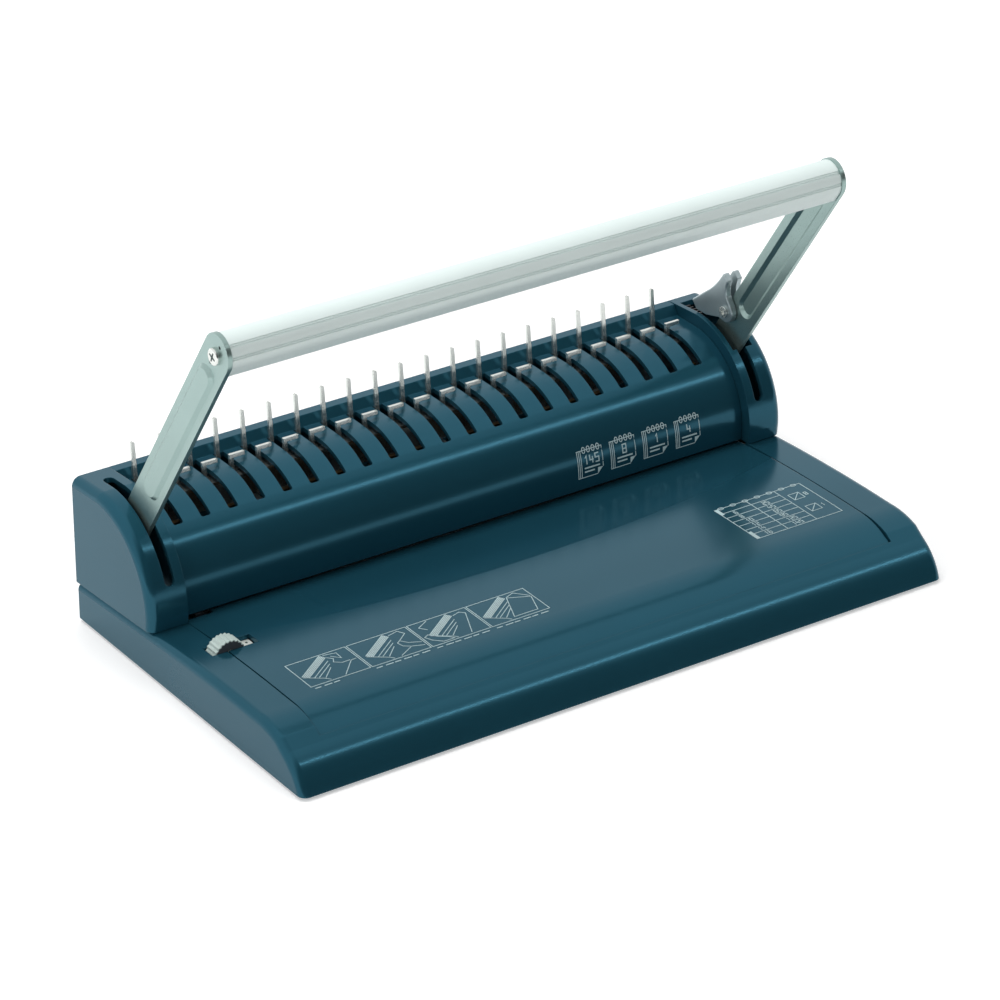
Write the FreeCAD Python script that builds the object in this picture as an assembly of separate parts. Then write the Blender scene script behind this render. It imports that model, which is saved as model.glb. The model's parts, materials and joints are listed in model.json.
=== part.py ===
import FreeCAD, Part
import math
import os

# Comb binding machine, in millimetres.
# X runs along the comb row, -Y is the front where the paper goes in, Z is up.
# The origin is on the table, under the middle of the machine.

# Overall sizes
machine_width = 348.4
machine_depth = 191.2
foot_height = 1.5
wall = 2.4
seam_step = 0.5
seam_gap = 0.2
run_gap = 0.4
slide_gap = 0.3
bore_gap = 0.05
cut_reach = 9.0

# Comb row
comb_pitch = 14.2875
comb_shift = -4.2
comb_margin = 6.0

# Drive shaft, on which the handle swings
pivot_from_rear = 22.0
pivot_height = 28.0
shaft_radius = 5.0

# Base, heights above its lower rim and depths from its front edge
base_rear_height = 18.4
base_cap_height = 21.9
crown_height = 23.8
crown_depth = 80.6
crown_fall = 0.1
shoulder_fall = 0.75
nose_start_depth = 37.6
nose_bend_depth = 19.2
nose_bend_height = 20.8
crease_depth = 13.2
crease_height = 16.5
front_bulge = 1.6
base_edge_radius = 4.0
nose_bend_radius = 3.0
crease_radius = 1.2
panel_side = 20.0
panel_gap = 0.6
panel_front_depth = 16.1
panel_roll_height = 17.4
ledge_width = 6.0
ramp_bow = 1.0
ramp_front_depth = 87.2
ramp_lead = 10.0
well_floor = 10.0
well_top = 60.0

# Hood and end caps
hood_radius = 39.0
hood_bottom_height = 22.5
cap_radius = 45.0
cap_width = 19.3
cap_edge_radius = 4.5
cap_front_draft = 0.5
ridge_height = 71.5
ridge_width = 5.0
ridge_bevel = 3.0
slot_width = 4.9
slot_shift = 1.4
slot_front_angle = 36.1
slot_corner = 1.0
notch_front = 12.1
notch_rear = 8.1
arm_slot_width = 5.2
arm_slot_rear_angle = -12.0
arm_slot_front_angle = 68.5
lever_well_width = 11.3
lever_well_rear_angle = -20.0
lever_well_front_angle = 37.0
lever_well_depth = 5.0

# Comb fingers
finger_width = 2.4
finger_tip_width = 1.7
finger_thickness = 1.5
finger_top = 85.3
finger_root = 60.0
finger_from_rear = 9.5
finger_lean = 5.0
comb_spine_bottom = 42.0
rail_thickness = 4.0
rail_height = 14.0

# Comb hooks
hook_rest_angle = -4.2
hook_plate_radius = 33.0
hook_plate_thickness = 1.6
hook_plate_spread = 9.0
hook_top_radius = 43.0
hook_bar_height = 1.8
hook_stem_width = 2.0
hook_shift = 0.5
hook_length = 7.9
bracket_hub_radius = 7.0
bracket_tip_radius = 3.0
bracket_width = 5.0
bracket_shares = (-0.866, -0.302, 0.302, 0.866)

# Punch unit
punch_from_rear = 38.5
punch_width = 8.0
punch_depth = 3.0
punch_gap = 0.1
punch_tip_lift = 1.3
cam_reach = 22.0
cam_rest_angle = 35.0
cam_nose_radius = 3.0
cam_hub_radius = 7.0
cam_knee = (1.5, 18.0)
cam_knee_radius = 3.5
cam_width = 8.0
cam_shares = (-0.63, 0.026, 0.63)
bar_height = 7.0
bar_margin = 0.3
flange_from_rear = 39.1
flange_thickness = 2.5
flange_top = 57.0
flange_notch = 3.0
bar_front_from_rear = 43.6
bar_rear_from_rear = 33.3
die_top_height = 20.0
die_thickness = 3.0
throat_height = 2.5
guide_thickness = 3.0
plate_front_from_rear = 58.2
plate_rear_from_rear = 30.6
paper_stop_depth = 3.9
post_radius = 1.5
post_top = 46.0
post_slot = 1.5
spring_outer_radius = 2.8
spring_wire = 0.7
spring_pocket = 4.0
spring_gap = 0.2
die_screw_radius = 1.0
die_screw_head = 1.8
die_screw_head_height = 1.4
die_screw_shares = (-0.787, -0.459, -0.131, 0.197, 0.459, 0.787)

# Steel frame
plate_thickness = 2.0
plate_front_gap = 1.2
bush_radius = 7.0
bush_flange_radius = 9.0
bush_flange = 1.2
bottom_thickness = 2.0
bottom_inset = 4.2
bottom_front_inset = 6.0

# Handle
arm_lean = 34.0
arm_length = 173.2
arm_offset = 7.0
arm_width = 19.0
arm_thickness = 2.2
arm_inset = 2.5
arm_hub_radius = 12.0
arm_root = 30.0
emboss_width = 12.0
emboss_height = 1.5
emboss_slope = 1.8
emboss_rim = 0.8
emboss_start = 66.0
rib_start_right = 84.0
emboss_end_drop = 17.2
locating_hole_radius = 0.8
locating_holes = ((4.8, 7.0), (-8.0, 8.4))
handle_bar_width = 18.0
handle_bar_drop = 7.0
handle_bar_wall = 1.8
handle_bar_corner = 2.5
groove_width = 0.7
groove_depth = 0.4
groove_angles = (14.0, 20.0, 50.0, 56.0)
arm_screw_radius = 1.8
arm_screw_head = 4.0
arm_screw_head_height = 1.8
arm_screw_length = 14.0
arm_screw_edge = 0.8
arm_screw_drop = 1.5
bar_web = 1.6
screw_boss_radius = 4.0

# Lock lever on the right arm, by heights above the end cap and angles forward of upright
lever_pivot_place = (11.34, 19.72)
lever_tab_rear = (29.8, 13.58)
lever_tab_front = (27.35, 17.04)
lever_tab_bow = (24.05, 16.9)
lever_shoulder = (19.5, 18.26)
lever_boss_front = (16.55, 22.47)
lever_boss_low = (12.65, 25.32)
lever_boss_rear = (6.5, 22.58)
lever_lobe_start = (5.3, 16.54)
lever_lobe_low = (0.8, 5.57)
lever_lobe_rear = (0.8, -4.11)
lever_lobe_top = (5.06, -8.0)
lever_neck_start = (12.8, 3.44)
lever_neck_bow = (19.65, 9.42)
lever_corner = 1.0
lever_edge_radius = 0.7
lever_cheek = 3.0
lever_web_gap = 2.5
lever_web_end = 4.0
lever_pin_radius = 1.5
lever_pin_head = 2.7
lever_pin_hollow = 1.2
lever_pin_head_height = 0.8
ratchet_teeth = 5
ratchet_pitch = 2.6
ratchet_front = 20.5
ratchet_width = 3.5
ratchet_height = 1.6
ratchet_base = 4.0
ratchet_drop = 1.0
ratchet_fall = 0.6
ratchet_crest = 0.3

# Thumbwheel and edge guide
wheel_radius = 8.2
wheel_rib_depth = 0.6
wheel_ribs = 24
wheel_thickness = 7.8
wheel_from_side = 21.0
wheel_height = 19.9
window_left = 9.1
window_right = 14.5
window_reach = 12.0
axle_radius = 1.0
axle_boss_radius = 3.0
axle_boss_length = 4.0
axle_inset = 0.5
rack_length = 34.0
rack_overhang = 8.3
rack_width = 6.0
rack_thickness = 3.0
guide_channel_wall = 2.7
guide_travel = 4.75
guide_arm_width = 6.0
guide_arm_thickness = 2.0
stop_width = 4.0
stop_depth = 2.8
stop_from_side = 27.7
stop_lead = 1.0
channel_end = 2.0
tag_width = 5.4
tag_thickness = 1.0
tag_length = 10.4

# Chip tray
tray_end_gap = 2.4
tray_front_from_rear = 56.0
tray_rear_from_rear = 20.0
tray_height = 11.6
tray_wall = 1.6
tray_face = 2.4
tray_grip_width = 16.0

# Feet and bottom screws
foot_radius = 8.0
foot_taper = 1.0
foot_from_side = 24.2
foot_from_front = 23.6
foot_from_rear = 17.6
boss_from_side = 62.2
boss_from_front = 35.6
boss_from_rear = 75.6
bottom_screw_radius = 1.5
bottom_screw_head = 3.0
bottom_screw_head_height = 1.0
bottom_screw_length = 8.0
base_boss_radius = 4.0

# Places worked out from the sizes
half_width = machine_width / 2
rear_y = machine_depth / 2
front_y = -rear_y
base_half_width = half_width - seam_step
panel_half_width = half_width - panel_side
base_rear_y = rear_y - seam_step
crown_top_z = foot_height + crown_height
pivot_y = rear_y - pivot_from_rear
pivot_z = foot_height + pivot_height
cap_inner_x = half_width - cap_width
hood_half = cap_inner_x - seam_gap
comb_count = int((2 * hood_half - comb_margin) / comb_pitch)
plate_outer_x = hood_half - slide_gap
plate_inner_x = plate_outer_x - plate_thickness
cap_front_y = rear_y - pivot_from_rear - cap_radius + cap_front_draft
hood_front_y = pivot_y - hood_radius
hood_bottom_z = foot_height + hood_bottom_height
hood_top_z = pivot_z + hood_radius
ridge_z = foot_height + ridge_height
panel_front_y = front_y + panel_front_depth
panel_rear_y = hood_front_y + wall
die_front_y = rear_y - plate_front_from_rear
die_rear_y = rear_y - plate_rear_from_rear
die_top_z = foot_height + die_top_height
guide_bottom_z = die_top_z + throat_height
guide_top_z = guide_bottom_z + guide_thickness
punch_y = rear_y - punch_from_rear
stop_y = punch_y + paper_stop_depth
bar_front_y = rear_y - bar_front_from_rear
bar_rear_y = rear_y - bar_rear_from_rear
cam_nose_z = pivot_z + cam_reach * math.cos(math.radians(cam_rest_angle))
bar_top_z = cam_nose_z - cam_nose_radius - slide_gap
bar_bottom_z = bar_top_z - bar_height
punch_tip_z = guide_bottom_z + punch_tip_lift
post_top_z = foot_height + post_top
bottom_top_z = foot_height + bottom_thickness
well_z = foot_height + well_floor
well_top_z = foot_height + well_top
arm_x = (hood_half + seam_gap + half_width) / 2 - arm_inset
arm_in = arm_x - arm_thickness / 2
arm_out = arm_x + arm_thickness / 2
wheel_x = wheel_from_side - half_width
wheel_z = foot_height + wheel_height
rack_top_z = wheel_z - wheel_radius - run_gap
rack_x0 = wheel_x - rack_overhang
stop_x = stop_from_side - half_width
tray_left = tray_end_gap - plate_inner_x
tray_front_y = rear_y - tray_front_from_rear
tray_rear_y = rear_y - tray_rear_from_rear
tray_bottom_z = bottom_top_z + slide_gap
tray_top_z = tray_bottom_z + tray_height
bracket_places = [share * plate_inner_x for share in bracket_shares]
cam_places = [share * plate_inner_x for share in cam_shares]
die_screw_places = [share * plate_inner_x for share in die_screw_shares]
post_slots = (post_slot, comb_count - 1 - post_slot)


def comb_x(index):
    return comb_shift + (index - (comb_count - 1) / 2) * comb_pitch


def corners(from_side, from_front, from_rear):
    x = half_width - from_side
    return [(side * x, y) for y in (front_y + from_front, rear_y - from_rear) for side in (-1, 1)]


def vec(x, y, z):
    return FreeCAD.Vector(x, y, z)


def box(x0, x1, y0, y1, z0, z1):
    return Part.makeBox(x1 - x0, y1 - y0, z1 - z0, vec(x0, y0, z0))


def rod(x, y, z, radius, length, direction):
    return Part.makeCylinder(radius, length, vec(x, y, z), vec(*direction))


def last_point(step):
    return step[1] if isinstance(step[0], tuple) else step


def outline(start, *steps):
    """Closed face in the YZ plane. A step of one point is a line, of two points an arc."""
    edges = []
    at = start
    closing = () if math.dist(last_point(steps[-1]), start) < 1e-6 else (start,)
    for step in steps + closing:
        if isinstance(step[0], tuple):
            middle, end = step
            arc = Part.Arc(vec(0, *at), vec(0, *middle), vec(0, *end))
            edges.append(arc.toShape())
        else:
            end = step
            edges.append(Part.makeLine(vec(0, *at), vec(0, *end)))
        at = end
    return Part.Face(Part.Wire(edges))


def along_x(face, x0, x1):
    return face.translated(vec(x0, 0, 0)).extrude(vec(x1 - x0, 0, 0))


def link(c1, r1, c2, r2):
    """Face of two circles joined by their outer tangents."""
    turn = math.atan2(c2[1] - c1[1], c2[0] - c1[0])
    spread = math.acos((r1 - r2) / math.dist(c1, c2))

    def on(centre, radius, angle):
        return (centre[0] + radius * math.cos(angle), centre[1] + radius * math.sin(angle))

    return outline(
        on(c1, r1, turn + spread),
        on(c2, r2, turn + spread),
        (on(c2, r2, turn), on(c2, r2, turn - spread)),
        on(c1, r1, turn - spread),
        (on(c1, r1, turn + math.pi), on(c1, r1, turn + spread)))


def polar(radius, angle):
    """Point at a radius from the shaft, at an angle forward of straight up."""
    a = math.radians(angle)
    return (pivot_y - radius * math.sin(a), pivot_z + radius * math.cos(a))


def sector(r0, r1, a0, a1):
    middle = (a0 + a1) / 2
    return outline(
        polar(r0, a0),
        (polar(r0, middle), polar(r0, a1)),
        polar(r1, a1),
        (polar(r1, middle), polar(r1, a0)))


def radial_rod(x, angle, radius, r0, r1):
    a = math.radians(angle)
    y, z = polar(r0, angle)
    return rod(x, y, z, radius, r1 - r0, (0, -math.sin(a), math.cos(a)))


def turned(shape, angle, y=pivot_y, z=pivot_z):
    return shape.rotated(vec(0, y, z), vec(1, 0, 0), angle)


def on_arm(along, across):
    """Point on an arm, measured from the shaft along and across the arm."""
    a = math.radians(arm_lean)
    y = pivot_y - along * math.sin(a) + across * math.cos(a)
    z = pivot_z + along * math.cos(a) + across * math.sin(a)
    return (y, z)


def mirrored(shape):
    return shape.mirror(vec(0, 0, 0), vec(1, 0, 0))


def one_solid(shape):
    clean = shape.removeSplitter()
    return clean.Solids[0] if len(clean.Solids) == 1 else clean


def hollow(body, face, inner_x0, inner_x1):
    """Empty a body over its outline to an even wall, open at the bottom."""
    inner = along_x(face.makeOffset2D(-wall), inner_x0, inner_x1)
    opened = inner.translated(vec(0, 0, -wall - 1.0))
    return body.cut([inner, opened])


def rounded(body, radius, wanted):
    return body.makeFillet(radius, [edge for edge in body.Edges if wanted(edge.BoundBox)])


# Base moulding and table panel
def base_outline():
    bend = (front_y + nose_bend_depth, foot_height + nose_bend_height)
    crease = (front_y + crease_depth, foot_height + crease_height)
    toe = (front_y, foot_height)
    bulge = ((crease[0] + toe[0]) / 2 - front_bulge, (crease[1] + toe[1]) / 2 + front_bulge * 0.8)
    shoulder_y = front_y + (nose_start_depth + nose_bend_depth) / 2 - 1.5
    return outline(
        (base_rear_y, foot_height),
        (base_rear_y, foot_height + base_rear_height),
        (cap_front_y, foot_height + base_cap_height),
        ((front_y + crown_depth, crown_top_z - crown_fall), (front_y + nose_start_depth, crown_top_z)),
        ((shoulder_y, crown_top_z - shoulder_fall), bend),
        crease,
        (bulge, toe))


def crown_z(y):
    """Height of the crowned table top at a depth."""
    rear = vec(cap_front_y, foot_height + base_cap_height, 0)
    middle = vec(front_y + crown_depth, crown_top_z - crown_fall, 0)
    front = vec(front_y + nose_start_depth, crown_top_z, 0)
    circle = Part.Arc(rear, middle, front).toShape().Curve
    return circle.Center.y + math.sqrt(circle.Radius ** 2 - (y - circle.Center.x) ** 2)


def panel_outline():
    roll_end = (panel_front_y, foot_height + panel_roll_height)
    roll_start = (front_y + nose_start_depth, crown_top_z)
    run = roll_start[0] - roll_end[0]
    drop = roll_start[1] - roll_end[1]
    bend = math.atan2(drop, run)
    radius = (run ** 2 + drop ** 2) / (2 * drop)
    roll_middle = (roll_start[0] - radius * math.sin(bend), roll_start[1] - radius * (1 - math.cos(bend)))
    return outline(
        (base_rear_y, foot_height),
        (base_rear_y, foot_height + base_rear_height),
        (cap_front_y, foot_height + base_cap_height),
        ((front_y + crown_depth, crown_top_z - crown_fall), roll_start),
        (roll_middle, roll_end),
        (panel_front_y, foot_height))


def base_body():
    """Outer form of the base, with its nose lines and side edges rounded."""
    body = along_x(base_outline(), -base_half_width, base_half_width)
    for depth, radius in ((nose_bend_depth, nose_bend_radius), (crease_depth, crease_radius)):
        y = front_y + depth
        body = rounded(body, radius, lambda b: b.XLength > base_half_width and abs(b.YMin - y) < 0.01)
    return rounded(body, base_edge_radius, lambda b: (
        b.XLength < 0.01 and b.YMax < cap_front_y + 0.01 and b.ZLength > 0.01))


def wheel_window():
    half = wheel_thickness / 2 + run_gap
    return box(wheel_x - window_left, wheel_x + window_right, -half, half,
               wheel_z - window_reach, wheel_z + window_reach)


def axle_bosses():
    start = wheel_thickness / 2 + run_gap
    under_panel = crown_z(start + axle_boss_length) - wall
    above = box(wheel_x - window_reach, wheel_x + window_reach, front_y, rear_y, under_panel, well_top_z)
    bosses = [rod(wheel_x, side * start, wheel_z, axle_boss_radius, axle_boss_length, (0, side, 0))
              for side in (-1, 1)]
    return [boss.cut(above) for boss in bosses]


def make_base_shell():
    face = base_outline()
    inner = base_half_width - wall
    shell = hollow(base_body(), face, -inner, inner)
    panel_x = panel_half_width + panel_gap
    panel_well = box(-panel_x, panel_x, panel_front_y - panel_gap, rear_y, well_z, well_top_z)
    under_cap = box(-inner, inner, cap_front_y + wall, base_rear_y - wall, well_z, well_top_z)
    tray_gate = box(0, half_width + wall, tray_front_y - run_gap, tray_rear_y + run_gap,
                    tray_bottom_z - run_gap, tray_top_z + run_gap)
    shell = shell.cut([panel_well, under_cap])
    band = along_x(face.makeOffset2D(-wall), panel_x - ledge_width, panel_x + 2)
    band = band.cut(along_x(face.makeOffset2D(-2 * wall), panel_x - ledge_width - 1, panel_x + 3))
    band = band.common(box(0, half_width, front_y + nose_start_depth, cap_front_y + wall,
                           well_z, well_top_z))
    shell = shell.fuse([band, mirrored(band)])
    shell = shell.cut([wheel_window(), tray_gate]).fuse(axle_bosses())
    return one_solid(shell.cut(make_wheel_axle()))


def make_table_panel():
    face = panel_outline()
    slab = along_x(face, -panel_half_width, panel_half_width)
    under = along_x(face.makeOffset2D(-wall), -half_width, half_width)
    limits = box(-half_width, half_width, panel_front_y, panel_rear_y, well_z, well_top_z)
    panel = slab.cut(under).common(limits)
    ramp_y = front_y + ramp_front_depth
    slope = (crown_z(ramp_y) - die_top_z) / (panel_rear_y - ramp_y)
    y = ramp_y - ramp_lead
    z_mid = crown_z(ramp_y) + ramp_lead * slope
    z_side = z_mid + ramp_bow
    z_top = z_side + cut_reach
    bow = Part.Arc(vec(-half_width, y, z_side), vec(0, y, z_mid), vec(half_width, y, z_side))
    sides = [vec(half_width, y, z_side), vec(half_width, y, z_top),
             vec(-half_width, y, z_top), vec(-half_width, y, z_side)]
    ramp = Part.Face(Part.Wire([bow.toShape()] + Part.makePolygon(sides).Edges))
    ramp = ramp.extrude(vec(0, machine_depth, -machine_depth * slope))
    reach = stop_width / 2 + guide_travel + run_gap
    stop_slot = box(stop_x - reach, stop_x + reach, guide_stop_y() - run_gap, panel_rear_y + 1,
                    foot_height, well_top_z)
    inside = along_x(face.makeOffset2D(-wall / 2), -half_width, half_width)
    posts = [rod(px, py, bottom_top_z, base_boss_radius, crown_height, (0, 0, 1)).common(inside)
             for px, py in boss_places()]
    axle = rod(wheel_x, -rear_y, wheel_z, axle_radius + bore_gap, machine_depth, (0, 1, 0))
    axle = axle.common(box(-half_width, 0, -axle_span(), axle_span(), 0, machine_depth))
    panel = panel.fuse(posts).cut([ramp, wheel_window(), stop_slot, axle] + make_bottom_screws().Solids)
    return one_solid(panel)


# Hood and end caps
def make_hood():
    bevel_y = rear_y - ridge_width - ridge_bevel
    face = outline(
        (hood_front_y, hood_bottom_z),
        (hood_front_y, pivot_z),
        (polar(hood_radius, 45), (pivot_y, hood_top_z)),
        (bevel_y, hood_top_z),
        (rear_y - ridge_width, ridge_z),
        (rear_y, ridge_z),
        (rear_y, foot_height + base_rear_height + seam_gap))
    shell = hollow(along_x(face, -hood_half, hood_half), face, -half_width, half_width)
    low = hood_radius - cut_reach
    high = hood_radius + cut_reach
    slot_end_y = polar(low, slot_front_angle)[0]
    cuts = []
    for index in range(comb_count):
        x = comb_x(index)
        x0 = x + slot_shift - slot_width / 2
        x1 = x0 + slot_width
        slot = along_x(sector(low, high, 0, slot_front_angle), x0, x1)
        cuts.append(rounded(slot, slot_corner, lambda b: b.XLength < 0.01 and b.YMax < slot_end_y + 0.01))
        y_notch = rear_y - notch_front
        cuts.append(box(x0, x1, pivot_y, y_notch, pivot_z + low, pivot_z + high))
        cuts.append(box(x - finger_width / 2 - run_gap, x1, y_notch, rear_y - notch_rear,
                        pivot_z + low, pivot_z + high))
    return one_solid(shell.cut(cuts))


def cap_outline():
    return outline(
        (cap_front_y, foot_height + base_cap_height + seam_gap),
        (pivot_y - cap_radius, pivot_z),
        (polar(cap_radius, 45), (pivot_y, pivot_z + cap_radius)),
        (rear_y, ridge_z),
        (rear_y, foot_height + base_rear_height + seam_gap))


def arm_slot(x, width, a0, a1):
    r0 = cap_radius - cut_reach
    r1 = cap_radius + cut_reach
    ends = [radial_rod(x, angle, width / 2, r0, r1) for angle in (a0, a1)]
    return [along_x(sector(r0, r1, a0, a1), x - width / 2, x + width / 2)] + ends


def plain_cap():
    face = cap_outline()
    body = rounded(along_x(face, cap_inner_x, half_width), cap_edge_radius, lambda b: (
        b.XMin > half_width - 0.01 and b.YMin < rear_y - 1 and b.ZMax > pivot_z - 0.1))
    cap = hollow(body, face, cap_inner_x + wall, half_width - wall)
    bore = rod(cap_inner_x - 1, pivot_y, pivot_z, shaft_radius + run_gap, wall + 2, (1, 0, 0))
    return cap.cut([bore] + arm_slot(arm_x, arm_slot_width, arm_slot_rear_angle, arm_slot_front_angle))


def make_right_cap():
    x0 = cap_inner_x + wall
    face = sector(cap_radius - lever_well_depth, cap_radius + cut_reach,
                  lever_well_rear_angle, lever_well_front_angle)
    well = along_x(face, x0, x0 + lever_well_width)
    return one_solid(plain_cap().cut(well))


def make_ratchet():
    x0 = cap_inner_x + wall
    y0 = rear_y - ratchet_front
    length = ratchet_teeth * ratchet_pitch
    top = pivot_z + cap_radius - ratchet_drop
    root = top - ratchet_height
    floor = outline((y0, top - ratchet_base), (y0, root), (y0 + length, root - ratchet_fall),
                    (y0 + length, top - ratchet_base - ratchet_fall))
    teeth = [along_x(floor, x0, x0 + ratchet_width)]
    for index in range(ratchet_teeth):
        y = y0 + index * ratchet_pitch
        crest = top - ratchet_fall * index / ratchet_teeth
        tooth = outline((y, root - ratchet_drop), (y, crest),
                        (y + ratchet_pitch * 0.5, crest - ratchet_crest),
                        (y + ratchet_pitch * 0.8, root - ratchet_drop))
        teeth.append(along_x(tooth, x0, x0 + ratchet_width))
    return one_solid(teeth[0].fuse(teeth[1:]))


# Steel frame inside
def side_plate_outline():
    y0 = hood_front_y + wall + plate_front_gap
    radius = hood_radius - wall - seam_gap
    z_arc = pivot_z + math.sqrt(radius ** 2 - (pivot_y - y0) ** 2)
    y1 = base_rear_y - wall - slide_gap
    return outline(
        (y0, bottom_top_z),
        (y0, z_arc),
        (polar(radius, 40), (pivot_y, pivot_z + radius)),
        (y1, pivot_z + radius),
        (y1, bottom_top_z))


def make_left_plate():
    plate = along_x(side_plate_outline(), -plate_outer_x, -plate_inner_x)
    return plate.cut(rod(-half_width, pivot_y, pivot_z, bush_radius, half_width, (1, 0, 0)))


def make_right_plate():
    plate = mirrored(make_left_plate())
    gate = box(0, half_width, tray_front_y - run_gap, tray_rear_y + run_gap, 0, tray_top_z + run_gap)
    return plate.cut(gate)


def make_bushes():
    bushes = []
    for side in (-1, 1):
        sleeve = rod(side * plate_outer_x, pivot_y, pivot_z, bush_radius, plate_thickness, (-side, 0, 0))
        flange = rod(side * plate_inner_x, pivot_y, pivot_z, bush_flange_radius, bush_flange, (-side, 0, 0))
        bore = rod(-half_width, pivot_y, pivot_z, shaft_radius + bore_gap, machine_width, (1, 0, 0))
        bushes.append(sleeve.fuse(flange).removeSplitter().cut(bore))
    return Part.makeCompound(bushes)


def punch_holes(z0, z1):
    holes = []
    for index in range(comb_count):
        x = comb_x(index)
        half_x = punch_width / 2 + punch_gap
        half_y = punch_depth / 2 + punch_gap
        holes.append(box(x - half_x, x + half_x, punch_y - half_y, punch_y + half_y, z0, z1))
    return holes


def die_screw_holes():
    y = (stop_y + die_rear_y) / 2
    holes = []
    for x in die_screw_places:
        holes.append(rod(x, y, die_top_z - die_thickness, die_screw_radius,
                         die_thickness + throat_height + guide_thickness, (0, 0, 1)))
        holes.append(rod(x, y, guide_top_z - die_screw_head_height, die_screw_head,
                         die_screw_head_height, (0, 0, 1)))
    return holes


def make_die_plate():
    plate = box(-plate_inner_x, plate_inner_x, die_front_y, die_rear_y, die_top_z - die_thickness, die_top_z)
    return plate.cut(punch_holes(0, die_top_z + 1) + die_screw_holes())


def make_guide_plate():
    plate = box(-plate_inner_x, plate_inner_x, die_front_y, die_rear_y, guide_bottom_z, guide_top_z)
    posts = [rod(comb_x(slot), punch_y, guide_bottom_z, post_radius, guide_thickness, (0, 0, 1))
             for slot in post_slots]
    return plate.cut(punch_holes(guide_bottom_z - 1, guide_top_z + 1) + die_screw_holes() + posts)


def make_throat_spacer():
    spacer = box(-plate_inner_x, plate_inner_x, stop_y, die_rear_y, die_top_z, guide_bottom_z)
    return spacer.cut(die_screw_holes())


def make_die_screws():
    y = (stop_y + die_rear_y) / 2
    screws = []
    for x in die_screw_places:
        head_z = guide_top_z - die_screw_head_height
        length = head_z - (die_top_z - die_thickness)
        shank = rod(x, y, die_top_z - die_thickness, die_screw_radius, length, (0, 0, 1))
        screws.append(shank.fuse(rod(x, y, head_z, die_screw_head, die_screw_head_height, (0, 0, 1))))
    return Part.makeCompound(screws)


def make_guide_posts():
    return Part.makeCompound([
        rod(comb_x(slot), punch_y, guide_bottom_z, post_radius, post_top_z - guide_bottom_z, (0, 0, 1))
        for slot in post_slots])


def make_springs():
    springs = []
    inner = spring_outer_radius - spring_wire
    height = bar_bottom_z + spring_pocket - guide_top_z
    for slot in post_slots:
        tube = rod(comb_x(slot), punch_y, guide_top_z, spring_outer_radius, height, (0, 0, 1))
        springs.append(tube.cut(rod(comb_x(slot), punch_y, guide_top_z, inner, height, (0, 0, 1))))
    return Part.makeCompound(springs)


def make_comb_plate():
    y = rear_y - finger_from_rear
    y0 = y - finger_thickness / 2
    y1 = y + finger_thickness / 2
    z_root = foot_height + finger_root
    z_top = foot_height + finger_top
    x0 = comb_x(0) - comb_pitch / 3
    x1 = comb_x(comb_count - 1) + comb_pitch / 3
    plate = box(x0, x1, y0, y1, foot_height + comb_spine_bottom, z_root)
    fingers = []
    for index in range(comb_count):
        x = comb_x(index)
        half = finger_width / 2
        tip = finger_tip_width / 2
        shoulder = z_top - tip
        ends = ((-half, z_root), (half, z_root), (tip, shoulder), (-tip, shoulder), (-half, z_root))
        side = Part.makePolygon([vec(x + dx, y0, z) for dx, z in ends])
        fingers.append(Part.Face(side).extrude(vec(0, finger_thickness, 0)))
        fingers.append(rod(x, y0, shoulder, tip, finger_thickness, (0, 1, 0)))
    comb = one_solid(plate.fuse(fingers))
    return turned(comb, -finger_lean, y, hood_top_z)


def make_comb_rail():
    y = rear_y - finger_from_rear
    z0 = foot_height + comb_spine_bottom
    y0 = y + finger_thickness / 2
    rail = box(-plate_inner_x, plate_inner_x, y0, y0 + rail_thickness, z0, z0 + rail_height)
    return turned(rail, -finger_lean, y, hood_top_z)


def boss_places():
    return corners(boss_from_side, boss_from_front, boss_from_rear)


def make_bottom_plate():
    x = base_half_width - bottom_inset
    plate = box(-x, x, front_y + bottom_front_inset, base_rear_y - wall - slide_gap,
                foot_height, bottom_top_z)
    holes = [rod(px, py, 0, bottom_screw_radius, bottom_top_z + 1, (0, 0, 1)) for px, py in boss_places()]
    sinks = [rod(px, py, foot_height, bottom_screw_head, bottom_screw_head_height, (0, 0, 1))
             for px, py in boss_places()]
    return plate.cut(holes + sinks)


def make_bottom_screws():
    screws = []
    for x, y in boss_places():
        shank = rod(x, y, foot_height, bottom_screw_radius, bottom_screw_length, (0, 0, 1))
        head = rod(x, y, foot_height, bottom_screw_head, bottom_screw_head_height, (0, 0, 1))
        screws.append(shank.fuse(head).removeSplitter())
    return Part.makeCompound(screws)


def make_feet():
    return Part.makeCompound([
        Part.makeCone(foot_radius - foot_taper, foot_radius, foot_height, vec(x, y, 0))
        for x, y in corners(foot_from_side, foot_from_front, foot_from_rear)])


# Handle
def arm_face():
    half = arm_width / 2
    low = arm_offset - half
    high = arm_offset + half
    strip = outline(
        on_arm(arm_root, low),
        on_arm(arm_length, low),
        (on_arm(arm_length + half, arm_offset), on_arm(arm_length, high)),
        on_arm(arm_root, high))
    root = outline(on_arm(0, -arm_hub_radius), on_arm(arm_root, low), on_arm(arm_root, high),
                   on_arm(0, arm_hub_radius))
    return strip, root


def pressing(start, radius, x):
    """Long pressed rib of an arm, with sloping sides."""
    ends = [on_arm(start, arm_offset), on_arm(arm_length - emboss_end_drop, arm_offset)]
    foot = link(ends[0], radius, ends[1], radius).translated(vec(x, 0, 0))
    top = radius - emboss_slope
    crest = link(ends[0], top, ends[1], top).translated(vec(x + emboss_height, 0, 0))
    return Part.makeLoft([foot.OuterWire, crest.OuterWire], True, True)


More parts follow.
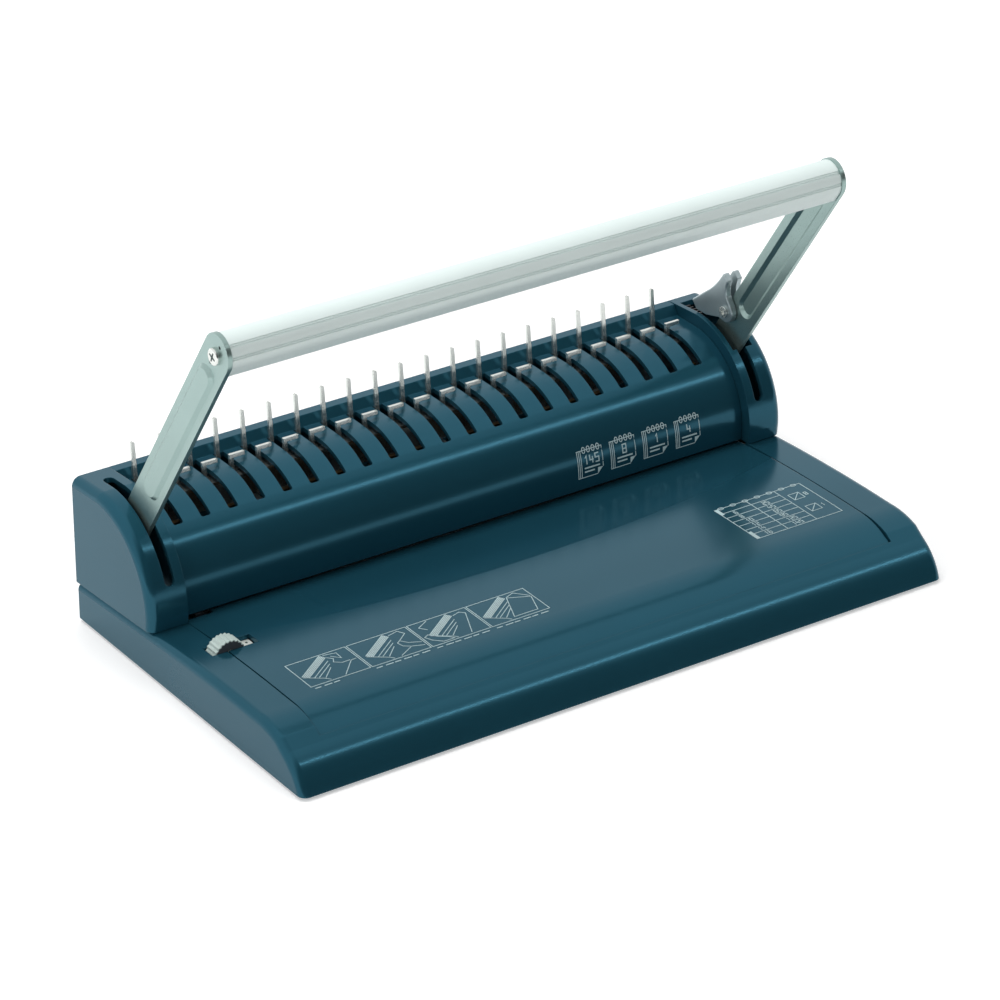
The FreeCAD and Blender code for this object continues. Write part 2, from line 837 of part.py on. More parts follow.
def make_arm(side, rib_start):
    strip, root = arm_face()
    x0, x1 = (arm_in, arm_out)
    plate = along_x(strip, x0, x1).fuse([
        along_x(root, x0, x1),
        rod(x0, pivot_y, pivot_z, arm_hub_radius, arm_thickness, (1, 0, 0))])
    radius = emboss_width / 2
    plate = plate.fuse(pressing(rib_start, radius, x1))
    plate = plate.cut([
        pressing(emboss_start, radius - emboss_rim, x0),
        rod(x0 - 1, pivot_y, pivot_z, shaft_radius + bore_gap, arm_thickness + 2, (1, 0, 0)),
        rod(x0 - 1, *arm_screw_place(), arm_screw_radius + bore_gap, arm_thickness + 2, (1, 0, 0))])
    for along, across in locating_holes:
        place = on_arm(arm_length + along, across)
        plate = plate.cut(rod(x0 - 1, *place, locating_hole_radius, arm_thickness + 2, (1, 0, 0)))
    if side > 0:
        place = over_cap(lever_pivot_place)
        plate = plate.cut(rod(x0 - 1, *place, lever_pin_radius, arm_thickness + 2, (1, 0, 0)))
        return one_solid(plate)
    return mirrored(one_solid(plate))


def arm_screw_place():
    return on_arm(arm_length - arm_screw_drop, arm_offset)


def handle_bar_face():
    half = handle_bar_width / 2
    corner = handle_bar_corner
    low = arm_length - handle_bar_drop
    left = arm_offset - half
    right = arm_offset + half
    soft = corner * (1 - math.sqrt(0.5))
    return outline(
        on_arm(low + corner, left),
        on_arm(arm_length, left),
        (on_arm(arm_length + half, arm_offset), on_arm(arm_length, right)),
        on_arm(low + corner, right),
        (on_arm(low + soft, right - soft), on_arm(low, right - corner)),
        on_arm(low, left + corner),
        (on_arm(low + soft, left + soft), on_arm(low + corner, left)))


def make_handle_bar():
    face = handle_bar_face()
    hole = face.makeOffset2D(-handle_bar_wall)
    bar = along_x(face, -arm_in, arm_in).cut(along_x(hole, -arm_in, arm_in))
    y, z = arm_screw_place()
    boss = rod(-arm_in, y, z, screw_boss_radius, 2 * arm_in, (1, 0, 0))
    low = arm_length - arm_screw_drop - bar_web / 2
    high = low + bar_web
    reach = (handle_bar_width - handle_bar_wall) / 2
    web = outline(on_arm(low, arm_offset - reach), on_arm(high, arm_offset - reach),
                  on_arm(high, arm_offset + reach), on_arm(low, arm_offset + reach))
    bar = bar.fuse([boss, along_x(web, -arm_in, arm_in)])
    cuts = [rod(-arm_in - 1, y, z, arm_screw_radius + bore_gap, 2 * arm_in + 2, (1, 0, 0))]
    half = handle_bar_width / 2
    for angle in groove_angles:
        a = math.radians(angle)
        along = arm_length + half * math.cos(a)
        across = arm_offset - half * math.sin(a)
        gy, gz = on_arm(along, across)
        cutter = box(-arm_in - 1, arm_in + 1, gy - groove_width / 2, gy + groove_width / 2,
                     gz - groove_depth, gz + groove_depth)
        cuts.append(turned(cutter, arm_lean + angle, gy, gz))
    return one_solid(bar.cut(cuts))


def make_arm_screws():
    y, z = arm_screw_place()
    screws = []
    for side in (-1, 1):
        shank = rod(side * arm_out, y, z, arm_screw_radius, arm_screw_length, (-side, 0, 0))
        head = rod(side * arm_out, y, z, arm_screw_head, arm_screw_head_height, (side, 0, 0))
        edge = [e for e in head.Edges if abs(abs(e.CenterOfMass.x) - arm_out - arm_screw_head_height) < 0.01]
        head = head.makeFillet(arm_screw_edge, edge)
        screws.append(shank.fuse(head))
    return Part.makeCompound(screws)


def make_drive_shaft():
    return rod(-arm_out, pivot_y, pivot_z, shaft_radius, 2 * arm_out, (1, 0, 0))


def make_hook_plate():
    r0 = hook_plate_radius
    r1 = r0 + hook_plate_thickness
    x0 = comb_x(0) - comb_pitch / 4
    x1 = comb_x(comb_count - 1) + comb_pitch / 2
    plate = along_x(sector(r0, r1, -hook_plate_spread, hook_plate_spread), x0, x1)
    hooks = []
    half = hook_plate_thickness / 2
    for index in range(comb_count):
        x = comb_x(index) + hook_shift
        hooks.append(box(x, x + hook_stem_width, pivot_y - half, pivot_y + half,
                         pivot_z + r0 + half, pivot_z + hook_top_radius))
        hooks.append(box(x, x + hook_length, pivot_y - half, pivot_y + half,
                         pivot_z + hook_top_radius - hook_bar_height, pivot_z + hook_top_radius))
    return turned(one_solid(plate.fuse(hooks)), hook_rest_angle)


def make_hook_brackets():
    tip = (pivot_y, pivot_z + hook_plate_radius)
    web = link((pivot_y, pivot_z), bracket_hub_radius, tip, bracket_tip_radius)
    brackets = []
    for x in bracket_places:
        bracket = along_x(web, x - bracket_width / 2, x + bracket_width / 2)
        bracket = bracket.common(rod(x - bracket_width, pivot_y, pivot_z, hook_plate_radius,
                                     2 * bracket_width, (1, 0, 0)))
        bore = rod(x - bracket_width, pivot_y, pivot_z, shaft_radius, 2 * bracket_width, (1, 0, 0))
        brackets.append(turned(bracket.cut(bore), hook_rest_angle))
    return Part.makeCompound(brackets)


def make_cams():
    knee = (pivot_y - cam_knee[0], pivot_z + cam_knee[1])
    neck = link((pivot_y, pivot_z), cam_hub_radius, knee, cam_knee_radius)
    finger = link(knee, cam_knee_radius, polar(cam_reach, cam_rest_angle), cam_nose_radius)
    cams = []
    for x in cam_places:
        cam = along_x(neck, x - cam_width / 2, x + cam_width / 2)
        cam = one_solid(cam.fuse(along_x(finger, x - cam_width / 2, x + cam_width / 2)))
        cams.append(cam.cut(rod(x - cam_width, pivot_y, pivot_z, shaft_radius, 2 * cam_width, (1, 0, 0))))
    return Part.makeCompound(cams)


# Lock lever on the right arm
def lever_span():
    x0 = arm_in - run_gap - lever_cheek
    x1 = arm_out + run_gap + lever_cheek
    return x0, x1


def over_cap(place):
    return polar(cap_radius + place[0], place[1])


def lever_outline():
    return outline(
        over_cap(lever_tab_rear), over_cap(lever_tab_front),
        (over_cap(lever_tab_bow), over_cap(lever_shoulder)),
        over_cap(lever_boss_front),
        (over_cap(lever_boss_low), over_cap(lever_boss_rear)),
        over_cap(lever_lobe_start), over_cap(lever_lobe_low),
        over_cap(lever_lobe_rear), over_cap(lever_lobe_top), over_cap(lever_neck_start),
        (over_cap(lever_neck_bow), over_cap(lever_tab_rear)))


def make_lock_lever():
    x0, x1 = lever_span()
    cheeks = []
    for x in (x0, x1 - lever_cheek):
        cheek = along_x(lever_outline(), x, x + lever_cheek)
        cheeks.append(rounded(cheek, lever_corner, lambda b: b.XLength > lever_cheek / 2))
    inner = rounded(cheeks[0], lever_edge_radius, lambda b: b.XMax < x0 + 0.01)
    outer = rounded(cheeks[1], lever_edge_radius, lambda b: b.XMin > x1 - 0.01)
    clear = arm_offset + arm_width / 2 + lever_web_gap
    end = cap_radius + lever_pivot_place[0] - lever_web_end
    rear = outline(on_arm(0, clear), on_arm(end, clear),
                   on_arm(end, clear + arm_length), on_arm(0, clear + arm_length))
    web = along_x(lever_outline(), x0 + lever_cheek, x1 - lever_cheek).common(along_x(rear, x0, x1))
    lever = inner.fuse([outer, web])
    pivot = over_cap(lever_pivot_place)
    bore = rod(x0 - 1, *pivot, lever_pin_radius + bore_gap, x1 - x0 + 2, (1, 0, 0))
    return one_solid(lever.cut(bore))


def make_lever_pin():
    x0, x1 = lever_span()
    y, z = over_cap(lever_pivot_place)
    gap = slide_gap / 2
    pin = rod(x0 - gap, y, z, lever_pin_radius, x1 - x0 + 2 * gap, (1, 0, 0))
    heads = [rod(x0 - gap, y, z, lever_pin_head, lever_pin_head_height, (-1, 0, 0)),
             rod(x1 + gap, y, z, lever_pin_head, lever_pin_head_height, (1, 0, 0))]
    end = x0 - gap - lever_pin_head_height
    hollow_end = rod(end, y, z, lever_pin_hollow, lever_pin_head_height, (1, 0, 0))
    return one_solid(pin.fuse(heads).cut(hollow_end))


# Punch bar and punches
def make_punch_bar():
    x0 = comb_x(0) - punch_width / 2 - bar_margin
    x1 = comb_x(comb_count - 1) + punch_width / 2 + bar_margin
    bar = box(x0, x1, bar_front_y, bar_rear_y, bar_bottom_z, bar_top_z)
    flange_y = rear_y - flange_from_rear
    flange_z = foot_height + flange_top
    bar = bar.fuse(box(x0, x1, flange_y, flange_y + flange_thickness, bar_top_z, flange_z)).removeSplitter()
    post_places = [comb_x(slot) for slot in post_slots]
    cuts = []
    notched = ((cam_places, cam_width), (bracket_places, bracket_width), (post_places, 2 * post_radius))
    for places, width in notched:
        half = width / 2 + flange_notch
        cuts += [box(x - half, x + half, bar_front_y, bar_rear_y, bar_top_z, flange_z + 1) for x in places]
    for x in post_places:
        cuts.append(rod(x, punch_y, bar_bottom_z - 1, post_radius + bore_gap, bar_height + 2, (0, 0, 1)))
        cuts.append(rod(x, punch_y, bar_bottom_z - 1, spring_outer_radius + spring_gap,
                        spring_pocket + 1, (0, 0, 1)))
    return bar.cut(cuts)


def make_punches():
    punches = []
    for index in range(comb_count):
        x = comb_x(index)
        punches.append(box(x - punch_width / 2, x + punch_width / 2, punch_y - punch_depth / 2,
                           punch_y + punch_depth / 2, punch_tip_z, bar_bottom_z))
    return Part.makeCompound(punches)


# Thumbwheel and edge guide
def make_thumbwheel():
    points = []
    for index in range(2 * wheel_ribs):
        radius = wheel_radius - (index % 2) * wheel_rib_depth
        a = math.pi * index / wheel_ribs
        x = wheel_x + radius * math.cos(a)
        z = wheel_z + radius * math.sin(a)
        points.append(vec(x, -wheel_thickness / 2, z))
    rim = Part.Face(Part.makePolygon(points + [points[0]])).extrude(vec(0, wheel_thickness, 0))
    bore = rod(wheel_x, -wheel_thickness, wheel_z, axle_radius + bore_gap, 2 * wheel_thickness, (0, 1, 0))
    return rim.cut(bore)


def axle_span():
    return wheel_thickness / 2 + run_gap + axle_boss_length - axle_inset


def make_wheel_axle():
    return rod(wheel_x, -axle_span(), wheel_z, axle_radius, 2 * axle_span(), (0, 1, 0))


def guide_stop_y():
    return hood_front_y - stop_lead


def make_edge_guide():
    x1 = rack_x0 + rack_length
    half = rack_width / 2
    rack = box(rack_x0, x1, -half, half, rack_top_z - rack_thickness, rack_top_z)
    arm_top = rack_top_z + guide_arm_thickness
    y0 = guide_stop_y()
    y1 = y0 + stop_depth
    arm = box(x1 - guide_arm_width, x1, -half, y1, rack_top_z, arm_top)
    x0 = stop_x - stop_width / 2
    foot = box(x0, x1, y0, y1, rack_top_z, arm_top)
    stop = box(x0, x0 + stop_width, y0, y1, rack_top_z, hood_bottom_z - slide_gap)
    return one_solid(rack.fuse([arm, foot, stop]))


def make_guide_channel():
    x0 = rack_x0 - guide_travel - channel_end
    x1 = rack_x0 + rack_length + guide_travel + channel_end
    inner = rack_width / 2 + slide_gap
    outer = inner + guide_channel_wall
    bed = box(x0, x1, -outer, outer, bottom_top_z, rack_top_z - slide_gap)
    groove = box(x0 - 1, x1 + 1, -inner, inner, rack_top_z - rack_thickness - slide_gap, rack_top_z + 1)
    return bed.cut(groove)


def make_size_tag():
    x0 = wheel_x + wheel_radius + run_gap
    z1 = crown_z(tag_length / 2) - wall
    return box(x0, x0 + tag_width, -tag_length / 2, tag_length / 2, z1 - tag_thickness, z1)


# Chip tray
def make_chip_tray():
    x1 = base_half_width
    body = box(tray_left, x1 - tray_face, tray_front_y, tray_rear_y, tray_bottom_z, tray_top_z)
    inside = box(tray_left + tray_wall, x1 - tray_face - tray_wall, tray_front_y + tray_wall,
                 tray_rear_y - tray_wall, tray_bottom_z + tray_wall, tray_top_z + 1)
    face = box(x1 - tray_face, x1, tray_front_y, tray_rear_y, tray_bottom_z, tray_top_z)
    middle = (tray_front_y + tray_rear_y) / 2
    grip = rod(x1, middle, tray_top_z + tray_grip_width * 0.3, tray_grip_width / 2, 2 * tray_face, (-1, 0, 0))
    lip = box(x1 - tray_face - 1, x1 - tray_face / 2, tray_front_y, tray_rear_y, 0, well_top_z)
    return one_solid(body.cut(inside).fuse(face).cut(grip.cut(lip)))


parts = {
    "base_shell": make_base_shell(),
    "table_panel": make_table_panel(),
    "hood": make_hood(),
    "left_end_cap": mirrored(one_solid(plain_cap())),
    "right_end_cap": make_right_cap(),
    "lock_ratchet": make_ratchet(),
    "bottom_plate": make_bottom_plate(),
    "bottom_screws": make_bottom_screws(),
    "rubber_feet": make_feet(),
    "left_side_plate": make_left_plate(),
    "right_side_plate": make_right_plate(),
    "shaft_bushes": make_bushes(),
    "die_plate": make_die_plate(),
    "guide_plate": make_guide_plate(),
    "throat_spacer": make_throat_spacer(),
    "die_screws": make_die_screws(),
    "guide_posts": make_guide_posts(),
    "return_springs": make_springs(),
    "comb_plate": make_comb_plate(),
    "comb_rail": make_comb_rail(),
    "size_tag": make_size_tag(),
    "wheel_axle": make_wheel_axle(),
    "guide_channel": make_guide_channel(),
    "left_arm": make_arm(-1, emboss_start),
    "right_arm": make_arm(1, rib_start_right),
    "handle_bar": make_handle_bar(),
    "arm_screws": make_arm_screws(),
    "drive_shaft": make_drive_shaft(),
    "hook_plate": make_hook_plate(),
    "hook_brackets": make_hook_brackets(),
    "punch_cams": make_cams(),
    "lock_lever": make_lock_lever(),
    "lever_pin": make_lever_pin(),
    "punch_bar": make_punch_bar(),
    "punches": make_punches(),
    "thumbwheel": make_thumbwheel(),
    "edge_guide": make_edge_guide(),
    "chip_tray": make_chip_tray(),
}

os.makedirs("parts", exist_ok=True)
for name, shape in parts.items():
    shape.exportStep("parts/" + name + ".step")
    print(name, len(shape.Solids), "solids", round(shape.Volume), "mm3", shape.isValid())
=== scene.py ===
import json
import math

import bmesh
import bpy
from mathutils import Matrix, Vector
from mathutils.bvhtree import BVHTree


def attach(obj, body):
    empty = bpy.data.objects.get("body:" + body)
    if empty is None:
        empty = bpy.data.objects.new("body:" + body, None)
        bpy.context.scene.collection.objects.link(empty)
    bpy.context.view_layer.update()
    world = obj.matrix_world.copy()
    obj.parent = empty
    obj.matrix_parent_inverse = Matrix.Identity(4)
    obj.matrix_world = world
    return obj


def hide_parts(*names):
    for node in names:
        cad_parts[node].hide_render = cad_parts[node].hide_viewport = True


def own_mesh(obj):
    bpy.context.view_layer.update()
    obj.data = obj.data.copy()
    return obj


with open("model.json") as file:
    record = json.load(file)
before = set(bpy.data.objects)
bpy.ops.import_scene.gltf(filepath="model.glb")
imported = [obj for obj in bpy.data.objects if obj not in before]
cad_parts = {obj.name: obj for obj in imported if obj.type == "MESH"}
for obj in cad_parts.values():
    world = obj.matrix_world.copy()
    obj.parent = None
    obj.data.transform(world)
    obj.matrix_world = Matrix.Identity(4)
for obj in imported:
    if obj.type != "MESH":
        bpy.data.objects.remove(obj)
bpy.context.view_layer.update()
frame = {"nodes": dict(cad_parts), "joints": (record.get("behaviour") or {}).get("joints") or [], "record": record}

bl_info = {
    "name": "Comb binding machine",
    "version": (1, 0, 0),
    "blender": (4, 5, 0),
    "location": "View3D > Sidebar > Binder",
    "description": "Finishes, printing and small pieces of a desktop comb binding machine",
    "category": "Object",
}

MM = 0.001

# Small amounts: points that count as one, no length, a line turned back on itself, and level with a face
SAME_POINT = 1e-7
NO_LENGTH = 1e-9
TURNED_BACK = 1e-6
LEVEL = 1e-5

# Shading of edges
MODEL_EDGE = math.radians(25)
PIECE_EDGE = math.radians(35)
CREASE_EDGE = math.radians(1.5)
CREASE_FRONT = -30 * MM

# Surface texture
CLOUD_SPAN = (0.3, 0.7)
GLOSS_CHANGE = 0.15
GRAIN_DEPTH = 0.1 * MM
EDGE_SAMPLES = 4

# Finish: its colour, roughness, metal share, grain scale and height, edge radius,
# cloud scale and colour change
FINISHES = {
    "petrol_plastic": ("petrol", 0.17, 0.50, 2600.0, 0.006, 0.45 * MM, 9.0, 0.04),
    "arm_steel": ("silver", 0.32, 0.85, 2600.0, 0.008, 0.3 * MM, 20.0, 0.05),
    "aluminium": ("aluminium", 0.40, 0.10, 900.0, 0.010, 0.3 * MM, 20.0, 0.03),
    "nickel_steel": ("nickel", 0.22, 0.9, 2600.0, 0.008, 0.25 * MM, 60.0, 0.04),
    "zinc_steel": ("zinc", 0.42, 1.0, 700.0, 0.10, 0.2 * MM, 90.0, 0.20),
    # Yellow zinc is set darker than the plate's own colour, as painted shade for the parts down in the slots
    "yellow_zinc": ("yellow_zinc", 0.38, 0.8, 700.0, 0.10, 0.2 * MM, 70.0, 0.30),
    "lever_steel": ("lever", 0.34, 0.75, 2600.0, 0.012, 0.5 * MM, 60.0, 0.08),
    "wheel_plastic": ("wheel", 0.40, 0.0, 2600.0, 0.015, 0.2 * MM, 80.0, 0.08),
    "dark_plastic": ("black", 0.45, 0.0, 2600.0, 0.015, 0.25 * MM, 30.0, 0.20),
    "white_plastic": ("tag", 0.50, 0.0, 1500.0, 0.05, 0.2 * MM, 120.0, 0.05),
    "brass": ("brass", 0.30, 1.0, 900.0, 0.05, 0.2 * MM, 60.0, 0.15),
    "foot_rubber": ("rubber", 0.75, 0.0, 900.0, 0.25, 0.4 * MM, 60.0, 0.25),
    "ink": ("ink", 0.60, 0.0, 2500.0, 0.02, 0.05 * MM, 150.0, 0.05),
    # Dark flat finish: the size tag's printed mark, and painted shade for the screw crosses
    "recess": ("recess", 0.55, 0.3, 2500.0, 0.02, 0.05 * MM, 150.0, 0.20),
}
# Grain drawn out along the bar, and a weaker sheen on the petrol plastic
EXTRAS = {"aluminium": {"stretch": (0.02, 1.0, 1.0)}, "petrol_plastic": {"specular": 0.22}}

# Printing: longest straight run of a line on a curved face, and how far a corner of it may stick out
PRINT_STEP = 4 * MM
MITRE_LIMIT = 0.5
RING_SIDES = 12
DIGIT_WIDE, DIGIT_GAP = 0.5, 0.26
DIGIT_STROKES = {
    "0": [[(0, 0), (1, 0), (1, 2), (0, 2), (0, 0)]],
    "1": [[(0.2, 1.5), (0.6, 2), (0.6, 0)]],
    "2": [[(0, 2), (1, 2), (1, 1), (0, 1), (0, 0), (1, 0)]],
    "4": [[(0, 2), (0, 0.8), (1, 0.8)], [(0.75, 1.5), (0.75, 0)]],
    "5": [[(1, 2), (0, 2), (0, 1.1), (1, 1.1), (1, 0), (0, 0)]],
    "6": [[(1, 2), (0, 2), (0, 0), (1, 0), (1, 1.1), (0, 1.1)]],
    "8": [[(0, 0), (1, 0), (1, 2), (0, 2), (0, 0)], [(0, 1), (1, 1)]],
    "9": [[(0, 0), (1, 0), (1, 2), (0, 2), (0, 0.9), (1, 0.9)]],
}

# Working pictures: gap between them, and the machine's shift in each, as a share of its width
STEP_GAP = 0.9 * MM
STEP_SHIFTS = (0.0, 0.04, 0.10, 0.0)
CAPTION_DROP = 2.0 * MM
# Strokes of the working pictures, as shares of a picture's width and depth
MACHINE_LINES = (
    ((0.18, 0.27), (0.59, 0.70)),
    ((0.24, 0.23), (0.57, 0.58)),
    ((0.32, 0.16), (0.53, 0.45)),
    ((0.04, 0.40), (0.31, 0.13), (0.36, 0.04)),
)
PICTURE_LINES = (
    (((0.61, 0.95), (0.81, 0.89), (0.80, 0.66), (0.69, 0.83)),
     ((0.62, 0.83), (0.69, 0.72), (0.64, 0.60)),
     ((0.60, 0.04), (0.88, 0.47), (0.97, 0.48)),
     ((0.64, 0.60), (0.74, 0.49), (0.87, 0.49))),
    (((0.97, 0.30), (0.80, 0.42), (0.72, 0.58), (0.66, 0.52),
      (0.68, 0.36), (0.78, 0.26), (0.97, 0.16)),
     ((0.66, 0.88), (0.84, 0.94), (0.90, 0.78), (0.73, 0.59)),
     ((0.52, 0.05), (0.77, 0.25))),
    (((0.32, 0.96), (0.12, 0.80), (0.20, 0.64)),
     ((0.04, 0.40), (0.10, 0.22), (0.22, 0.06), (0.40, 0.06),
      (0.34, 0.18), (0.22, 0.30), (0.12, 0.46), (0.04, 0.40)),
     ((0.73, 0.84), (0.86, 0.90), (0.93, 0.80), (0.70, 0.06))),
    (((0.64, 0.84), (0.97, 0.62), (0.84, 0.10), (0.43, 0.10), (0.64, 0.84)),
     ((0.64, 0.86), (0.80, 0.95), (0.97, 0.66))),
)

# Capacity table: comb size and page count of each row, the first row being its heading
TABLE_ROWS = (("", ""), ("6", "25"), ("8", "45"), ("10", "65"), ("12", "95"), ("14", "125"), ("16", "145"))
TABLE_DIGIT = 2.6 * MM
TABLE_SPINE = 1.8 * MM
TABLE_RINGS = 7

# Page pictures: their numbers, and the sizes of a number and of the thick strokes under it
PAGE_NUMBERS = ("145", "8", "1", "4")
PAGE_RINGS = 4
PAGE_DIGIT = 4.0 * MM
PAGE_STROKE = 0.7 * MM

# Small pieces
TEETH_FROM = 7 * MM
FACE_HOLE = 0.45
FACE_ROOT = 0.05 * MM
CROSS_TURN = 24
CROSS_TAPER = 0.7
CROSS_ROOT = 0.1 * MM
CROSS_THICK = 0.13 * MM
TURN_STEPS = 20
WIRE_SIDES = 8
CLOSED_PITCH = 2.05

# Room: how bright the wall in front looks in reflections, and the directions over which it brightens
WALL_LIGHT = (0.05, 1.0)
WALL_SPAN = (-0.60, -0.20)
# Floor: half its side, its grey, and its glow from near the machine to far from it
FLOOR_HALF = 6.0
FLOOR_CLOUD = 3.0
FLOOR_DARK, FLOOR_LIGHT = (0.79, 0.79, 0.79), (0.81, 0.81, 0.81)
FLOOR_ROUGH = 0.9
FLOOR_GLOW = (0.40, 1.0)
FLOOR_SPAN = (0.30, 1.50)
WHITE = (1, 1, 1, 1)
# Lamp: its place, aim, width and depth, and whether reflections show it
LAMPS = {
    "key": ((-0.15, 0.40, 1.40), (0, 0, 0), (0.8, 0.6), False),
    "side": ((-1.40, -0.10, 0.60), (0, 0, 0.05), (0.9, 0.9), False),
    "front": ((0.75, -0.80, 1.20), (0, 0, 0.05), (1.1, 0.05), True),
}
SENSOR = 36.0
FAR_CLIP = 50.0


def colour(label, default):
    return bpy.props.FloatVectorProperty(
        name=label, description=label + " colour, linear", default=default,
        size=3, min=0.0, max=1.0, subtype="COLOR")


def length(label, what, default):
    return bpy.props.FloatProperty(
        name=label, description=what, default=default, min=0.0, unit="LENGTH")


def number(label, what, default):
    return bpy.props.FloatProperty(name=label, description=what, default=default)


def place(label, what, default):
    return bpy.props.FloatVectorProperty(
        name=label, description=what, default=default, size=3, subtype="TRANSLATION", unit="LENGTH")


class BinderFinish(bpy.types.PropertyGroup):
    """Colours of the machine's finishes."""
    petrol: colour("Petrol plastic", (0.016, 0.092, 0.136))
    silver: colour("Arm lacquer", (0.32, 0.44, 0.42))
    aluminium: colour("Handle bar", (0.82, 0.93, 0.91))
    nickel: colour("Nickel plate", (0.74, 0.77, 0.74))
    zinc: colour("Zinc plate", (0.46, 0.49, 0.50))
    # Darkened well below real yellow zinc: painted shade for the punch parts deep inside the slots
    yellow_zinc: colour("Yellow zinc plate", (0.11, 0.07, 0.028))
    lever: colour("Lock lever", (0.40, 0.48, 0.50))
    wheel: colour("Thumbwheel rim", (0.50, 0.60, 0.57))
    black: colour("Black plastic", (0.006, 0.007, 0.009))
    tag: colour("Size tag", (0.72, 0.76, 0.72))
    ink: colour("White print", (0.52, 0.66, 0.68))
    brass: colour("Brass bush", (0.60, 0.42, 0.16))
    rubber: colour("Rubber foot", (0.010, 0.010, 0.011))
    # Dark colour of the tag's print, also used as painted shade on the screw crosses in place of real recesses
    recess: colour("Shaded recess", (0.020, 0.045, 0.042))


class BinderPrint(bpy.types.PropertyGroup):
    """Sizes of the white printing."""
    line: length("Line", "Width of a printed line", 0.55 * MM)
    fine: length("Fine line", "Width of a thin printed line", 0.36 * MM)
    lift: length("Ink height", "Height of the ink over the plastic", 0.09 * MM)
    sink: length("Ink root", "Depth of the ink under the plastic's skin", 0.06 * MM)
    strip_corner: place("Steps corner", "Rear left corner of the four pictures", (-0.1415, -0.0305, 0))
    strip_frame: place("Steps frame", "Width and depth of one picture", (0.0306, 0.0215, 0))
    table_corner: place("Table corner", "Rear left corner of the capacity table", (0.0990, -0.0190, 0))
    table_frame: place("Table frame", "Width and depth of the capacity table", (0.0490, 0.0330, 0))
    page_corner: place("Pages corner", "Lower left corner of the first page picture", (0.0600, 0, 0.0300))
    page_frame: place("Page frame", "Pitch, width and height of a page picture", (0.0187, 0.0140, 0.0130))


class BinderSmall(bpy.types.PropertyGroup):
    """Sizes of the small pieces."""
    face_rim: length("Wheel rim", "Pale edge left round the thumbwheel's dark face", 0.45 * MM)
    face_thick: length("Wheel face", "Thickness of the thumbwheel's dark face", 0.15 * MM)
    cross_reach: length("Cross reach", "Length of one arm of a screw's cross", 2.3 * MM)
    cross_width: length("Cross width", "Width of a screw's cross", 1.1 * MM)
    wire: length("Wire", "Radius of the spring wire", 0.35 * MM)
    coils: number("Coils", "Number of turns in a return spring", 6.0)


class BinderStage(bpy.types.PropertyGroup):
    """Camera and light."""
    azimuth: number("Azimuth", "Camera turn to the left of straight ahead, in degrees", 34.110)
    elevation: number("Elevation", "Camera height angle, in degrees", 27.859)
    distance: length("Distance", "Camera distance from its target", 2.066895)
    target: place("Target", "Point in the middle of the view", (-0.010876, -0.0044, 0.05718))
    lens: number("Lens", "Focal length on a 36 mm sensor", 165.485)
    sky: number("Sky", "Strength of the all-round light", 0.42)
    key: number("Key", "Power of the overhead light", 11.0)
    side: number("Side", "Power of the light on the left", 4.2)
    front: number("Front", "Power of the long light in front", 1.5)


def settings():
    scene = bpy.context.scene
    return scene.binder_finish, scene.binder_print, scene.binder_small, scene.binder_stage


def joint(name):
    return next(j for j in frame["joints"] if j["name"] == name)


# Materials
def base_nodes(name):
    material = bpy.data.materials.new(name)
    material.use_nodes = True
    tree = material.node_tree
    shader = tree.nodes["Principled BSDF"]
    coords = tree.nodes.new("ShaderNodeTexCoord")
    return material, tree, shader, coords.outputs["Object"]


def noise(tree, where, scale, detail=3.0, stretch=None):
    if stretch:
        mapping = tree.nodes.new("ShaderNodeMapping")
        mapping.inputs["Scale"].default_value = stretch
        tree.links.new(where, mapping.inputs["Vector"])
        where = mapping.outputs["Vector"]
    node = tree.nodes.new("ShaderNodeTexNoise")
    node.inputs["Scale"].default_value = scale
    node.inputs["Detail"].default_value = detail
    tree.links.new(where, node.inputs["Vector"])
    return node.outputs["Fac"]


def ramp(tree, value, span, target):
    """Carry a value from one range to another, held at its ends."""
    node = tree.nodes.new("ShaderNodeMapRange")
    node.inputs["From Min"].default_value, node.inputs["From Max"].default_value = span
    node.inputs["To Min"].default_value, node.inputs["To Max"].default_value = target
    tree.links.new(value, node.inputs["Value"])
    return node.outputs["Result"]


def combine(tree, operation, one, two):
    node = tree.nodes.new("ShaderNodeMath")
    node.operation = operation
    tree.links.new(one, node.inputs[0])
    tree.links.new(two, node.inputs[1])
    return node.outputs[0]


def tint(tree, value, dark, light):
    node = tree.nodes.new("ShaderNodeValToRGB")
    for element, position, rgb in zip(node.color_ramp.elements, CLOUD_SPAN, (dark, light)):
        element.position = position
        element.color = (*rgb, 1)
    tree.links.new(value, node.inputs["Fac"])
    return node.outputs["Color"]


def shade(rgb, factor):
    return tuple(min(1.0, c * factor) for c in rgb)


def finish(name, rgb, rough, metallic, grain, bump, edge, cloud, vary, stretch=None, specular=0.5):
    """A surface with clouded colour, uneven gloss, a fine grain and softened edges."""
    material, tree, shader, where = base_nodes(name)
    clouds = tint(tree, noise(tree, where, cloud), shade(rgb, 1 - vary), shade(rgb, 1 + vary))
    tree.links.new(clouds, shader.inputs["Base Color"])
    fine = noise(tree, where, grain, 2.0, stretch)
    gloss = (rough * (1 - GLOSS_CHANGE), rough * (1 + GLOSS_CHANGE))
    tree.links.new(ramp(tree, fine, CLOUD_SPAN, gloss), shader.inputs["Roughness"])
    soft = tree.nodes.new("ShaderNodeBevel")
    soft.samples = EDGE_SAMPLES
    soft.inputs["Radius"].default_value = edge
    relief = tree.nodes.new("ShaderNodeBump")
    relief.inputs["Strength"].default_value = bump
    relief.inputs["Distance"].default_value = GRAIN_DEPTH
    tree.links.new(fine, relief.inputs["Height"])
    tree.links.new(soft.outputs["Normal"], relief.inputs["Normal"])
    tree.links.new(relief.outputs["Normal"], shader.inputs["Normal"])
    shader.inputs["Metallic"].default_value = metallic
    shader.inputs["Specular IOR Level"].default_value = specular
    return material


def make_finishes():
    colours = settings()[0]
    return {name: finish(name, getattr(colours, tone), *values, **EXTRAS.get(name, {}))
            for name, (tone, *values) in FINISHES.items()}


